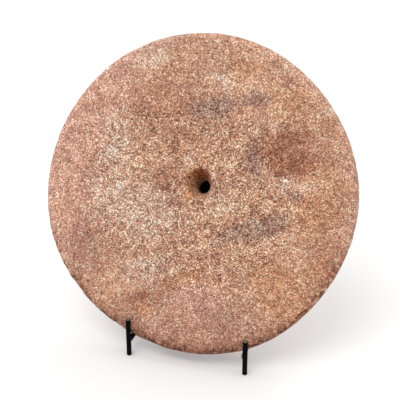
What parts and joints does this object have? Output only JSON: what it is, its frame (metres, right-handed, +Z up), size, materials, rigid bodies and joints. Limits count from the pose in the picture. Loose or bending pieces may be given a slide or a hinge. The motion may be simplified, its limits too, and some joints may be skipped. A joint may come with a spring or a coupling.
{
  "type": "stone disc",
  "caption": "Round hand-worked granular stone disc with an off-centre bored hole, leaning back in a small black steel stand.",
  "frame": {"origin": "on the floor, under the middle of the whole object's bounding box", "axes": "+Z up, -Y the way the disc's worked face looks, +X to the right as that face is seen from the front"},
  "size_m": [0.3186, 0.1696, 0.3083],
  "materials": {
    "stone": "matte",
    "black_steel": "satin"
  },
  "bodies": {
    "root": {"stone_disc": "stone", "left_front_post": "black_steel", "left_arm": "black_steel", "right_front_post": "black_steel", "right_arm": "black_steel", "cross_bar": "black_steel", "back_bar": "black_steel", "rear_leg": "black_steel"}
  },
  "joints": []
}
